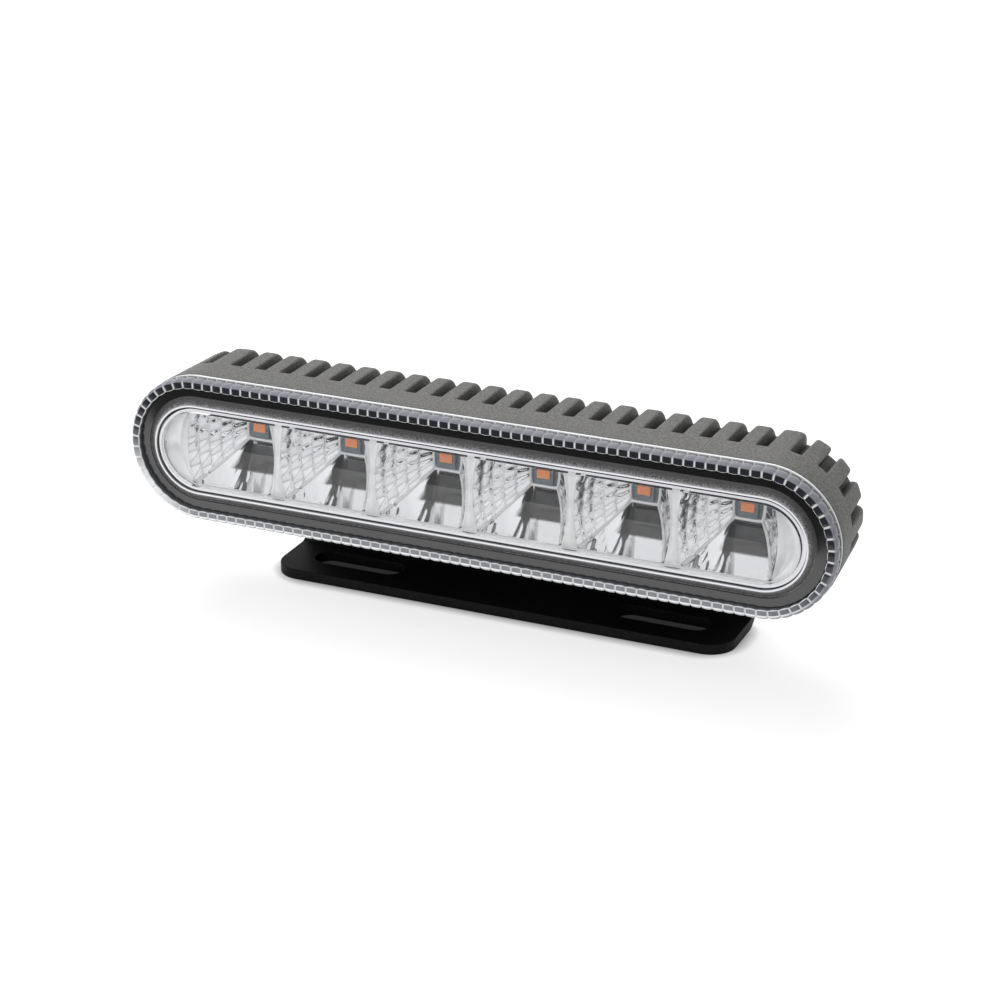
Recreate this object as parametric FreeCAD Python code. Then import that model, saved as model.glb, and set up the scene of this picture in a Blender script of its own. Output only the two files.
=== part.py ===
import FreeCAD, Part
import math
import os

from FreeCAD import Vector

# Slim warning light: a finned, round-ended housing with a clear prism-ring lens,
# six reflector cups and an angle bracket whose foot lies under the lamp.
# Lamp frame while modelling: X along the lamp, Y backwards from the front plane,
# Z up from the lamp's long axis. The last step moves all pieces to the foot.

# Housing, whose round ends draw in towards the back
lamp_length = 135.0
lamp_height = 27.5
end_taper = 1.4
housing_front = 3.0
housing_back = 21.8
back_edge_radius = 3.6
cavity_radius = 9.6
cavity_floor = 16.4
ledge_depth = 7.0
front_wall = 1.15

# Cooling slots
slot_pitch = 5.04
slot_width = 2.1
slot_depth = 2.6
slot_front = 10.1
straight_slots = 21
end_slots = 8

# Bosses on the back for the bracket
boss_spacing = 50.7
boss_diameter = 11.0
boss_height = 4.0

# Lens: a prism ring and a window that stand forward from one clear plate
lens_inset = 0.05
ring_width = 1.9
ring_front_width = 1.35
ring_shoulder = 0.6
rim_back = 2.6
plate_front = 2.2
spigot_clearance = 0.1
window_front = 0.2
window_edge = 0.25
prism_pitch = 1.95
end_prisms = 19
prism_gap = 0.28
prism_front_cut = 0.35
prism_side_cut = 0.4
prism_side_length = 1.7

# Pale seal between the lens rim and the housing
gasket_inset = 0.05

# Black frame in the channel between prism ring and window
bezel_clearance = 0.06
bezel_front = 1.4
bezel_flat_width = 1.7
bezel_skirt_width = 1.5
bezel_crest_width = 0.45
bezel_crest_front = 0.2

# Reflector
cup_count = 6
cup_pitch = 19.0
cup_half_width = 8.9
cup_corner_width = 7.95
cup_half_height = 7.0
base_half_width = 3.0
base_corner_width = 2.7
base_half_height = 2.2
cup_wall = 0.9
reflector_gap = 0.1
reflector_flange_radius = 10.4
reflector_flange_thickness = 1.0

# Light sources and boards
board_clearance = 0.4
board_thickness = 1.6
pad_thickness = 0.4
pad_inset = 0.3
package_size = 3.5
package_height = 0.6
emitter_width = 2.4
emitter_height = 1.3
emitter_thickness = 0.25
wire_hole_diameter = 4.0
ring_board_width = 2.1
ring_board_thickness = 1.2
ring_board_clearance = 0.2
ring_led_length = 2.0
ring_led_width = 0.8
ring_led_height = 0.8
ring_leds_per_side = 10
ring_leds_per_end = 4
component_x = 38.0
inductor_size = 5.6
inductor_height = 2.8
chip_size = 5.0
chip_height = 1.2
capacitor_size = 2.5
capacitor_height = 1.6
capacitor_offset = 5.6

# Board screws
board_screw_x = 19.0
board_screw_diameter = 2.5
board_screw_head = 4.6
board_screw_head_height = 1.6
board_screw_head_edge = 0.4
board_screw_grip = 3.0

# Cable inlet
gland_flange_diameter = 12.0
gland_flange_height = 1.6
gland_neck_diameter = 8.0
gland_nose_length = 6.0
gland_nose_diameter = 8.6
gland_bore = 5.0
fit_clearance = 0.1

# Bracket
axis_height = 27.8
plate_thickness = 2.0
foot_length = 90.5
foot_front = 11.4
foot_corner_radius = 5.0
bend_radius = 2.0
upstand_top = 7.0
upstand_corner_radius = 6.0
notch_width = 14.0
notch_bottom = -9.0
mount_slot_spacing = 61.0
mount_slot_length = 18.0
mount_slot_width = 5.5
mount_slot_margin = 5.0

# Bracket screws
bracket_screw_diameter = 5.0
bracket_hole_diameter = 5.4
bracket_screw_head = 8.0
bracket_screw_head_height = 4.4
bracket_screw_head_edge = 0.4
bracket_screw_grip = 4.0
hex_socket = 4.0
hex_socket_depth = 2.5
washer_diameter = 10.0
washer_thickness = 1.0
spring_washer_diameter = 8.2
spring_washer_thickness = 1.2
spring_washer_split = 0.8

# Places worked out from the sizes above
outer_radius = lamp_height / 2
end_x = lamp_length / 2 - outer_radius
lens_radius = outer_radius - lens_inset
ring_inner_radius = lens_radius - ring_width
ring_front_radius = ring_inner_radius + ring_front_width
bezel_skirt_radius = ring_inner_radius - bezel_flat_width
bezel_crest_radius = bezel_skirt_radius - bezel_skirt_width
window_radius = bezel_crest_radius - bezel_crest_width
counterbore_radius = outer_radius - front_wall
pad_back = cavity_floor
pad_front = pad_back - pad_thickness
board_front = pad_front - board_thickness
board_radius = cavity_radius - board_clearance
package_front = board_front - package_height
emitter_front = package_front - emitter_thickness
reflector_front = housing_front + reflector_gap
flange_back = reflector_front + reflector_flange_thickness
ring_board_outer = counterbore_radius - ring_board_clearance
ring_board_inner = ring_board_outer - ring_board_width
ring_board_front = ledge_depth - ring_board_thickness
boss_back = housing_back + boss_height
upstand_back = boss_back + plate_thickness
foot_underside = -axis_height
foot_top = foot_underside + plate_thickness
mount_slot_y = foot_front + mount_slot_margin + mount_slot_width / 2
cup_places = [cup_pitch * (i - (cup_count - 1) / 2) for i in range(cup_count)]
boss_places = [-boss_spacing / 2, boss_spacing / 2]

back_way = Vector(0, 1, 0)


def stadium_wire(radius, y):
    left = Vector(-end_x, y, 0)
    right = Vector(end_x, y, 0)
    up = Vector(0, 0, radius)
    out = Vector(radius, 0, 0)
    top = Part.makeLine(left + up, right + up)
    right_arc = Part.Arc(right + up, right + out, right - up).toShape()
    bottom = Part.makeLine(right - up, left - up)
    left_arc = Part.Arc(left - up, left - out, left + up).toShape()
    return Part.Wire([top, right_arc, bottom, left_arc])


def stadium_plate(radius, front, back):
    return Part.Face(stadium_wire(radius, front)).extrude(back_way * (back - front))


def stadium_taper(front_radius, front, back_radius, back):
    wires = [stadium_wire(front_radius, front), stadium_wire(back_radius, back)]
    return Part.makeLoft(wires, True, True)


def stadium_ring(outer, inner, front, back):
    return stadium_plate(outer, front, back).cut(stadium_plate(inner, front - 1, back + 1))


def disc(x, diameter, front, back, z=0.0):
    return Part.makeCylinder(diameter / 2, back - front, Vector(x, front, z), back_way)


def block(x, z, width, height, front, back):
    corner = Vector(x - width / 2, front, z - height / 2)
    return Part.makeBox(width, back - front, height, corner)


def around(shape, end, angle):
    # Turns a shape modelled at the middle of the top to a place on a round end.
    turned = shape.copy()
    turned.rotate(Vector(0, 0, 0), Vector(0, 1, 0), angle)
    turned.translate(Vector(end, 0, 0))
    return turned


def along_edge(shape, pitch, count, end_count, end_shape=None):
    # Repeats a shape modelled at the middle of the top around the whole edge. The
    # round ends may have a shape of their own.
    end_shape = end_shape or shape
    copies = []
    for i in range(count):
        x = pitch * (i - (count - 1) / 2)
        top = shape.copy()
        top.translate(Vector(x, 0, 0))
        copies.append(top)
        copies.append(around(shape, x, 180))
    step = 180.0 / end_count
    for i in range(end_count):
        angle = step * (i + 0.5)
        copies.append(around(end_shape, end_x, angle))
        copies.append(around(end_shape, -end_x, -angle))
    return copies


def make_housing_block():
    # A middle that narrows to the back, between two round ends that lean with it.
    depth = housing_back - housing_front
    back_end = end_x - end_taper
    below = -outer_radius
    corners = [
        Vector(-end_x, housing_front, below),
        Vector(end_x, housing_front, below),
        Vector(back_end, housing_back, below),
        Vector(-back_end, housing_back, below),
    ]
    middle = Part.Face(Part.makePolygon(corners + corners[:1])).extrude(Vector(0, 0, lamp_height))
    ends = []
    for side in (-1, 1):
        lean = Vector(-side * end_taper, depth, 0)
        start = Vector(side * end_x, housing_front, 0) - lean / 2
        ends.append(Part.makeCylinder(outer_radius, 2 * lean.Length, start, lean))
    slab = block(0, 0, 2 * lamp_length, 2 * lamp_height, housing_front, housing_back)
    body = middle.fuse(ends).common(slab).removeSplitter()
    back_edges = [e for e in body.Edges if e.BoundBox.YMin > housing_back - 0.01]
    return body.makeFillet(back_edge_radius, back_edges)


def make_housing():
    body = make_housing_block()
    slot = block(0, outer_radius, slot_width, 2 * slot_depth, slot_front, housing_back + 1)
    end_slot = block(0, outer_radius, slot_width, 2 * slot_depth + end_taper, slot_front, housing_back + 1)
    body = body.cut(along_edge(slot, slot_pitch, straight_slots, end_slots, end_slot))
    body = body.cut(stadium_plate(counterbore_radius, housing_front - 1, ledge_depth))
    body = body.cut(stadium_plate(cavity_radius, housing_front - 1, cavity_floor))
    bosses = [disc(x, boss_diameter, housing_back - 1, boss_back) for x in boss_places]
    body = body.fuse(bosses)
    screw_holes = [
        disc(x, bracket_screw_diameter, boss_back - boss_height - bracket_screw_grip, boss_back + 1)
        for x in boss_places
    ]
    board_holes = [
        disc(x, board_screw_diameter, cavity_floor - 1, cavity_floor + board_screw_grip)
        for x in (-board_screw_x, board_screw_x)
    ]
    inlet = disc(0, gland_neck_diameter, cavity_floor - 1, housing_back + 1)
    return body.cut(screw_holes + board_holes + [inlet])


def make_lens():
    shoulder = stadium_taper(ring_front_radius, 0, lens_radius, ring_shoulder)
    wall = stadium_plate(lens_radius, ring_shoulder, rim_back)
    spigot = stadium_plate(counterbore_radius - spigot_clearance, plate_front, housing_front)
    channel = stadium_plate(ring_inner_radius, -1, plate_front)
    edge_back = window_front + window_edge
    window = stadium_plate(window_radius, edge_back, plate_front)
    window_face = stadium_taper(window_radius - window_edge, window_front, window_radius, edge_back)
    body = shoulder.fuse([wall, spigot]).cut(channel)
    body = body.fuse([window, window_face]).removeSplitter()
    # Thin gaps over the front face and down the side part the ring into prisms.
    outline = [
        Vector(0, -1, ring_inner_radius - 1),
        Vector(0, -1, lens_radius + 1),
        Vector(0, prism_side_length, lens_radius + 1),
        Vector(0, prism_side_length, lens_radius - prism_side_cut),
        Vector(0, prism_front_cut, lens_radius - prism_side_cut - ring_shoulder),
        Vector(0, prism_front_cut, ring_inner_radius - 1),
    ]
    gap = Part.Face(Part.makePolygon(outline + outline[:1]))
    gap = gap.extrude(Vector(prism_gap, 0, 0))
    gap.translate(Vector(-prism_gap / 2, 0, 0))
    straight_prisms = int(2 * end_x / prism_pitch)
    return body.cut(along_edge(gap, prism_pitch, straight_prisms, end_prisms))


def make_gasket():
    inner = counterbore_radius + gasket_inset
    outer = lens_radius - gasket_inset
    return stadium_ring(outer, inner, rim_back, housing_front)


def make_bezel():
    bezel_back = plate_front - bezel_clearance
    flat = stadium_plate(ring_inner_radius - bezel_clearance, bezel_front, bezel_back)
    skirt = stadium_taper(bezel_crest_radius, bezel_crest_front, bezel_skirt_radius, bezel_front)
    opening = stadium_plate(window_radius + bezel_clearance, bezel_crest_front - 1, bezel_back + 1)
    return flat.fuse(skirt).cut(opening).removeSplitter()


def grow(base, mouth, share):
    # Half a cup's size between its base (share 0) and its mouth (share 1), as a parabola.
    return math.sqrt(base ** 2 + (mouth ** 2 - base ** 2) * share)


def cup_depth(share):
    return board_front - (board_front - reflector_front) * share


def cup_section(x, share):
    # Outline of a cup's inside: flat above and below, bowed at the sides.
    y = cup_depth(share)
    middle = grow(base_half_width, cup_half_width, share)
    corner = grow(base_corner_width, cup_corner_width, share)
    height = grow(base_half_height, cup_half_height, share)
    top_left = Vector(x - corner, y, height)
    top_right = Vector(x + corner, y, height)
    low_left = Vector(x - corner, y, -height)
    low_right = Vector(x + corner, y, -height)
    return Part.Wire([
        Part.makeLine(top_left, top_right),
        Part.Arc(top_right, Vector(x + middle, y, 0), low_right).toShape(),
        Part.makeLine(low_right, low_left),
        Part.Arc(low_left, Vector(x - middle, y, 0), top_left).toShape(),
    ])


def shell_section(x, share):
    # Plain four-sided outline around the cup, one wall thickness outside it.
    y = cup_depth(share)
    width = grow(base_half_width, cup_half_width, share) + cup_wall
    height = grow(base_half_height, cup_half_height, share) + cup_wall
    corners = [
        Vector(x - width, y, -height),
        Vector(x + width, y, -height),
        Vector(x + width, y, height),
        Vector(x - width, y, height),
    ]
    return Part.makePolygon(corners + corners[:1])


def make_reflector():
    flange = stadium_plate(reflector_flange_radius, reflector_front, flange_back)
    flange_share = (board_front - flange_back) / (board_front - reflector_front)
    shell_shares = [0.0, 0.1, 0.4, flange_share]
    hollow_shares = [0.0, 0.1, 0.4, 1.0]
    shells = [
        Part.makeLoft([shell_section(x, share) for share in shell_shares], True, True)
        for x in cup_places
    ]
    hollows = [
        Part.makeLoft([cup_section(x, share) for share in hollow_shares], True, True)
        for x in cup_places
    ]
    return flange.fuse(shells).cut(hollows).removeSplitter()


def make_board():
    board = stadium_plate(board_radius, board_front, pad_front)
    holes = [
        disc(x, board_screw_diameter + 2 * fit_clearance, board_front - 1, pad_front + 1)
        for x in (-board_screw_x, board_screw_x)
    ]
    return board.cut(holes + [disc(0, wire_hole_diameter, board_front - 1, pad_front + 1)])


def make_pad():
    pad = stadium_plate(board_radius - pad_inset, pad_front, pad_back)
    holes = [
        disc(x, board_screw_diameter + 2 * fit_clearance, pad_front - 1, pad_back + 1)
        for x in (-board_screw_x, board_screw_x)
    ]
    return pad.cut(holes + [disc(0, gland_neck_diameter, pad_front - 1, pad_back + 1)])


def make_board_screw(x):
    head = disc(x, board_screw_head, board_front - board_screw_head_height, board_front)
    head_front = board_front - board_screw_head_height
    front_edges = [e for e in head.Edges if e.BoundBox.YMax < head_front + 0.01]
    head = head.makeChamfer(board_screw_head_edge, front_edges)
    shank = disc(x, board_screw_diameter, board_front, cavity_floor + board_screw_grip)
    return head.fuse(shank)


def make_ring_leds():
    radius = (ring_board_inner + ring_board_outer) / 2
    led_front = ring_board_front - ring_led_height
    led = block(0, radius, ring_led_length, ring_led_width, led_front, ring_board_front)
    pitch = 2 * end_x / ring_leds_per_side
    return Part.makeCompound(along_edge(led, pitch, ring_leds_per_side, ring_leds_per_end))


def make_gland():
    # The neck fills the inlet hole and the flange seals on the housing's back.
    flange_back_y = housing_back + gland_flange_height
    neck = disc(0, gland_neck_diameter - fit_clearance, pad_back, housing_back)
    flange = disc(0, gland_flange_diameter, housing_back, flange_back_y)
    nose_tip = gland_nose_diameter / 2 - 1
    nose = Part.makeCone(gland_nose_diameter / 2, nose_tip, gland_nose_length,
                         Vector(0, flange_back_y, 0), back_way)
    body = neck.fuse([flange, nose])
    return body.cut(disc(0, gland_bore, 0, flange_back_y + gland_nose_length + 1))


def rounded_plate(width, depth, radius):
    # Plate outline in X and depth, its two front corners rounded.
    half = width / 2
    turn = radius * (1 - math.sqrt(0.5))
    left = Part.Arc(Vector(-half, radius, 0), Vector(-half + turn, turn, 0), Vector(-half + radius, 0, 0))
    right = Part.Arc(Vector(half - radius, 0, 0), Vector(half - turn, turn, 0), Vector(half, radius, 0))
    return Part.Face(Part.Wire([
        Part.makeLine(Vector(-half, depth, 0), Vector(-half, radius, 0)),
        left.toShape(),
        Part.makeLine(Vector(-half + radius, 0, 0), Vector(half - radius, 0, 0)),
        right.toShape(),
        Part.makeLine(Vector(half, radius, 0), Vector(half, depth, 0)),
        Part.makeLine(Vector(half, depth, 0), Vector(-half, depth, 0)),
    ]))


def make_bracket():
    bend_outer = bend_radius + plate_thickness
    foot_depth = upstand_back - bend_outer - foot_front
    through = Vector(0, 0, plate_thickness)
    foot = rounded_plate(foot_length, foot_depth, foot_corner_radius).extrude(through)
    foot.translate(Vector(0, foot_front, foot_underside))
    rise = upstand_top - foot_underside - bend_outer
    upstand = rounded_plate(foot_length, rise, upstand_corner_radius).extrude(through)
    upstand.rotate(Vector(0, 0, 0), Vector(1, 0, 0), -90)
    upstand.translate(Vector(0, boss_back, upstand_top))
    bend_axis = Vector(-foot_length / 2, upstand_back - bend_outer, foot_underside + bend_outer)
    bend = Part.makeCylinder(bend_outer, foot_length, bend_axis, Vector(1, 0, 0))
    bend = bend.cut(Part.makeCylinder(bend_radius, foot_length, bend_axis, Vector(1, 0, 0)))
    quarter = Part.makeBox(foot_length, bend_outer, bend_outer, bend_axis - Vector(0, 0, bend_outer))
    body = foot.fuse([upstand, bend.common(quarter)])
    cuts = []
    for side in (-1, 1):
        length = mount_slot_length - mount_slot_width
        middle = Vector(side * mount_slot_spacing / 2, mount_slot_y, foot_underside - 1)
        corner = middle - Vector(length / 2, mount_slot_width / 2, 0)
        cuts.append(Part.makeBox(length, mount_slot_width, plate_thickness + 2, corner))
        for end in (-length / 2, length / 2):
            centre = middle + Vector(end, 0, 0)
            cuts.append(Part.makeCylinder(mount_slot_width / 2, plate_thickness + 2, centre))
    for x in boss_places:
        cuts.append(disc(x, bracket_hole_diameter, boss_back - 1, upstand_back + 1))
    # Notch that clears the cable inlet.
    notch_centre = notch_bottom + notch_width / 2
    cuts.append(disc(0, notch_width, boss_back - 1, upstand_back + 1, notch_centre))
    notch_rise = upstand_top + 1 - notch_centre
    notch_middle = notch_centre + notch_rise / 2
    cuts.append(block(0, notch_middle, notch_width, notch_rise, boss_back - 1, upstand_back + 1))
    return body.cut(cuts).removeSplitter()


def make_washer(x):
    back = upstand_back + washer_thickness
    ring = disc(x, washer_diameter, upstand_back, back)
    return ring.cut(disc(x, bracket_hole_diameter, upstand_back - 1, back + 1))


def make_spring_washer(x):
    front = upstand_back + washer_thickness
    back = front + spring_washer_thickness
    ring = disc(x, spring_washer_diameter, front, back)
    ring = ring.cut(disc(x, bracket_hole_diameter, front - 1, back + 1))
    split_z = spring_washer_diameter / 2
    split = block(x, split_z, spring_washer_split, spring_washer_diameter, front - 1, back + 1)
    split.rotate(Vector(x, (front + back) / 2, 0), Vector(0, 0, 1), 20)
    return ring.cut(split)


def make_bracket_screw(x):
    head_front = upstand_back + washer_thickness + spring_washer_thickness
    head_back = head_front + bracket_screw_head_height
    head = disc(x, bracket_screw_head, head_front, head_back)
    back_edges = [e for e in head.Edges if e.BoundBox.YMin > head_back - 0.01]
    head = head.makeChamfer(bracket_screw_head_edge, back_edges)
    shank = disc(x, bracket_screw_diameter, housing_back - bracket_screw_grip, head_front)
    corners = []
    for i in range(7):
        angle = math.radians(60 * i)
        reach = hex_socket / math.sqrt(3)
        corners.append(Vector(x + reach * math.cos(angle), head_back, reach * math.sin(angle)))
    socket = Part.Face(Part.makePolygon(corners)).extrude(back_way * -hex_socket_depth)
    return head.fuse(shank).cut(socket)


def make_all():
    parts = {
        "housing": make_housing(),
        "lens": make_lens(),
        "gasket": make_gasket(),
        "bezel": make_bezel(),
        "reflector": make_reflector(),
        "led_board": make_board(),
        "thermal_pad": make_pad(),
        "ring_board": stadium_ring(ring_board_outer, ring_board_inner, ring_board_front, ledge_depth),
        "ring_leds": make_ring_leds(),
        "inductor": block(component_x, 0, inductor_size, inductor_size,
                          board_front - inductor_height, board_front),
        "driver_chip": block(-component_x, 0, chip_size, chip_size, board_front - chip_height, board_front),
        "cable_gland": make_gland(),
        "bracket": make_bracket(),
    }
    for i, z in enumerate((capacitor_offset, -capacitor_offset)):
        parts["capacitor_%d" % (i + 1)] = block(-component_x, z, capacitor_size, capacitor_size,
                                                board_front - capacitor_height, board_front)
    for i, x in enumerate(cup_places):
        parts["led_%d" % (i + 1)] = block(x, 0, package_size, package_size, package_front, board_front)
        parts["emitter_%d" % (i + 1)] = block(x, 0, emitter_width, emitter_height,
                                              emitter_front, package_front)
    for side, x in zip(("left", "right"), boss_places):
        parts["bracket_screw_" + side] = make_bracket_screw(x)
        parts["washer_" + side] = make_washer(x)
        parts["spring_washer_" + side] = make_spring_washer(x)
    for side, x in (("left", -board_screw_x), ("right", board_screw_x)):
        parts["board_screw_" + side] = make_board_screw(x)
    return parts


def main():
    os.makedirs("parts", exist_ok=True)
    # From the lamp frame to the middle of the mounting slots on the foot's underside.
    to_foot = Vector(0, -mount_slot_y, axis_height)
    for name, shape in make_all().items():
        shape.translate(to_foot)
        shape.exportStep("parts/%s.step" % name)
        print(name, "valid" if shape.isValid() else "NOT VALID", len(shape.Solids), round(shape.Volume, 1))


main()
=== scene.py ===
from math import asin, cos, hypot, pi, radians, sin, sqrt

import bmesh
import bpy
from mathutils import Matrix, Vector


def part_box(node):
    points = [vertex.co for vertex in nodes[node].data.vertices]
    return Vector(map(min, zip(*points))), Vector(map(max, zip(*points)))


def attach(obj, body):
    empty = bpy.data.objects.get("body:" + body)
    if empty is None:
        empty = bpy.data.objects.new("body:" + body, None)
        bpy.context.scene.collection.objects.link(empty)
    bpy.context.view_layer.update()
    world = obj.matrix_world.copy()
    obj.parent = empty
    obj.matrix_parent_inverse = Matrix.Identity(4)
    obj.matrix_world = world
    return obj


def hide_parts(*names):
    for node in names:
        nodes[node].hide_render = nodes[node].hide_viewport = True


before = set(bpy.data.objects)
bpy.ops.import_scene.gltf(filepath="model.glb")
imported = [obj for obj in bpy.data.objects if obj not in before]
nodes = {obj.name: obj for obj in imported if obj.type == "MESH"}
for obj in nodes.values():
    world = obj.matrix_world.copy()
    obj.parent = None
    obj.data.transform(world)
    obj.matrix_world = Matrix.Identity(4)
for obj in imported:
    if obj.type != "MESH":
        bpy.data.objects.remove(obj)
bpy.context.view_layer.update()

mm = 0.001

# the lamp's own lines, read from the frame
lensLow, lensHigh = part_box("lens")
bracketLow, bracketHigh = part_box("bracket")
lamp = {
    "frontY": lensLow.y,
    "axisZ": (lensLow.z + lensHigh.z) / 2,
    # millimetres from the middle of the lamp to the middle of a round end
    "reach": ((lensHigh.x - lensLow.x) - (lensHigh.z - lensLow.z)) / 2 / mm,
}


def lampPoint(x, y, z):
    # millimetres from the lamp's front plane and long axis to the frame
    return Vector((x * mm, lamp["frontY"] + y * mm, lamp["axisZ"] + z * mm))


def limit(value):
    return min(1.0, max(0.0, value))


def blend(low, high, share):
    return tuple(a + (b - a) * share for a, b in zip(low, high))


def cleanMaterial(name):
    made = bpy.data.materials.new(name)
    made.use_nodes = True
    made.node_tree.nodes.clear()
    return made, made.node_tree.nodes, made.node_tree.links


def shaderOut(tree, links, shader):
    out = tree.new("ShaderNodeOutputMaterial")
    links.new(shader.outputs[0], out.inputs["Surface"])


def addMath(tree, links, operation, *inputs):
    # a number goes on the socket, an output is linked to it
    made = tree.new("ShaderNodeMath")
    made.operation = operation
    for socket, value in zip(made.inputs, inputs):
        if isinstance(value, (int, float)):
            socket.default_value = value
        else:
            links.new(value, socket)
    return made.outputs[0]


def addRange(tree, links, value, low, high, toLow=0.0, toHigh=1.0):
    made = tree.new("ShaderNodeMapRange")
    ends = {"From Min": low, "From Max": high, "To Min": toLow, "To Max": toHigh}
    for key, number in ends.items():
        made.inputs[key].default_value = number
    links.new(value, made.inputs["Value"])
    return made.outputs[0]


grainLook = {
    "fineDetail": 2.0,
    "coarseDetail": 3.0,
    "coarseScale": 0.06,  # as a share of the fine scale
    "mask": (0.32, 0.68),  # heights that count as the bottom and the top of the grain
    "sockets": {"Scale": 4000.0, "Roughness": 0.5, "Spread": 0.1},
}


def makeGrainGroup():
    # fine grain of a coat or a moulding: a mask, a height and a shifted roughness
    group = bpy.data.node_groups.new("surfaceGrain", "ShaderNodeTree")
    face = group.interface
    for key, value in grainLook["sockets"].items():
        face.new_socket(key, in_out="INPUT", socket_type="NodeSocketFloat").default_value = value
    for key in ("Grain", "Height", "Roughness"):
        face.new_socket(key, in_out="OUTPUT", socket_type="NodeSocketFloat")
    tree, links = group.nodes, group.links
    source = tree.new("NodeGroupInput")
    target = tree.new("NodeGroupOutput")
    place = tree.new("ShaderNodeTexCoord")
    fine = tree.new("ShaderNodeTexNoise")
    fine.inputs["Detail"].default_value = grainLook["fineDetail"]
    links.new(place.outputs["Object"], fine.inputs["Vector"])
    links.new(source.outputs["Scale"], fine.inputs["Scale"])
    coarse = tree.new("ShaderNodeTexNoise")
    coarse.inputs["Detail"].default_value = grainLook["coarseDetail"]
    links.new(place.outputs["Object"], coarse.inputs["Vector"])
    wide = addMath(tree, links, "MULTIPLY", source.outputs["Scale"], grainLook["coarseScale"])
    links.new(wide, coarse.inputs["Scale"])
    grain = addRange(tree, links, fine.outputs["Fac"], *grainLook["mask"])
    shift = addMath(tree, links, "SUBTRACT", coarse.outputs["Fac"], 0.5)
    rough = addMath(tree, links, "MULTIPLY_ADD", shift, source.outputs["Spread"],
                    source.outputs["Roughness"])
    links.new(grain, target.inputs["Grain"])
    links.new(fine.outputs["Fac"], target.inputs["Height"])
    links.new(rough, target.inputs["Roughness"])
    return group


grainGroup = makeGrainGroup()


def addGrain(tree, look):
    placed = tree.new("ShaderNodeGroup")
    placed.node_tree = grainGroup
    for key in grainLook["sockets"]:
        placed.inputs[key].default_value = look[key.lower()]
    return placed


def finishShader(tree, links, look, colour, rough, relief):
    shader = tree.new("ShaderNodeBsdfPrincipled")
    shader.inputs["Metallic"].default_value = look.get("metal", 0.0)
    shader.inputs["Specular IOR Level"].default_value = look.get("specular", 0.5)
    links.new(colour, shader.inputs["Base Color"])
    links.new(rough, shader.inputs["Roughness"])
    links.new(relief.outputs["Normal"], shader.inputs["Normal"])
    shaderOut(tree, links, shader)


def grainyMaterial(name, look):
    # coat or moulding whose colour, roughness and relief follow the grain
    made, tree, links = cleanMaterial(name)
    grain = addGrain(tree, look)
    tone = tree.new("ShaderNodeMix")
    tone.data_type = "RGBA"
    tone.inputs["A"].default_value = (*look["dark"], 1)
    tone.inputs["B"].default_value = (*look["light"], 1)
    links.new(grain.outputs["Grain"], tone.inputs["Factor"])
    relief = tree.new("ShaderNodeBump")
    relief.inputs["Strength"].default_value = look["relief"]
    relief.inputs["Distance"].default_value = look["depth"] * mm
    links.new(grain.outputs["Height"], relief.inputs["Height"])
    finishShader(tree, links, look, tone.outputs["Result"], grain.outputs["Roughness"], relief)
    return made


def tonedMaterial(name, look):
    # moulding that carries its tones on the mesh, with a grain where the tone's alpha asks for it
    made, tree, links = cleanMaterial(name)
    grain = addGrain(tree, look)
    tone = tree.new("ShaderNodeAttribute")
    tone.attribute_name = "tone"
    swing = addMath(tree, links, "SUBTRACT", grain.outputs["Grain"], 0.5)
    amount = addMath(tree, links, "MULTIPLY", tone.outputs["Alpha"], look["contrast"])
    bright = addMath(tree, links, "MULTIPLY_ADD", swing, amount, 1.0)
    colour = tree.new("ShaderNodeVectorMath")
    colour.operation = "SCALE"
    links.new(tone.outputs["Color"], colour.inputs[0])
    links.new(bright, colour.inputs["Scale"])
    shown = colour.outputs[0]
    if "inGloss" in look:
        # a wall seen in another wall is plainly bright, without its painted shade and painted
        # reflection
        path = tree.new("ShaderNodeLightPath")
        plain = tree.new("ShaderNodeMix")
        plain.data_type = "RGBA"
        plain.inputs["B"].default_value = (look["inGloss"],) * 3 + (1,)
        again = addMath(tree, links, "MINIMUM", path.outputs["Glossy Depth"], 1.0)
        links.new(again, plain.inputs["Factor"])
        links.new(shown, plain.inputs["A"])
        shown = plain.outputs["Result"]
    rough = addMath(tree, links, "MULTIPLY_ADD", tone.outputs["Alpha"], look["grainRoughness"],
                    grain.outputs["Roughness"])
    relief = tree.new("ShaderNodeBump")
    relief.inputs["Distance"].default_value = look["depth"] * mm
    strength = addMath(tree, links, "MULTIPLY", tone.outputs["Alpha"], look["relief"])
    links.new(strength, relief.inputs["Strength"])
    links.new(grain.outputs["Height"], relief.inputs["Height"])
    finishShader(tree, links, look, shown, rough, relief)
    return made


def glassMaterial(name, look):
    # clear moulding that lets lamp light through to what lies behind it
    made, tree, links = cleanMaterial(name)
    shader = tree.new("ShaderNodeBsdfPrincipled")
    shader.inputs["Base Color"].default_value = (*look["colour"], 1)
    shader.inputs["Roughness"].default_value = look["roughness"]
    shader.inputs["IOR"].default_value = look["ior"]
    shader.inputs["Transmission Weight"].default_value = 1.0
    clear = tree.new("ShaderNodeBsdfTransparent")
    path = tree.new("ShaderNodeLightPath")
    mix = tree.new("ShaderNodeMixShader")
    links.new(path.outputs["Is Shadow Ray"], mix.inputs[0])
    links.new(shader.outputs[0], mix.inputs[1])
    links.new(clear.outputs[0], mix.inputs[2])
    shaderOut(tree, links, mix)
    return made


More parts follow.
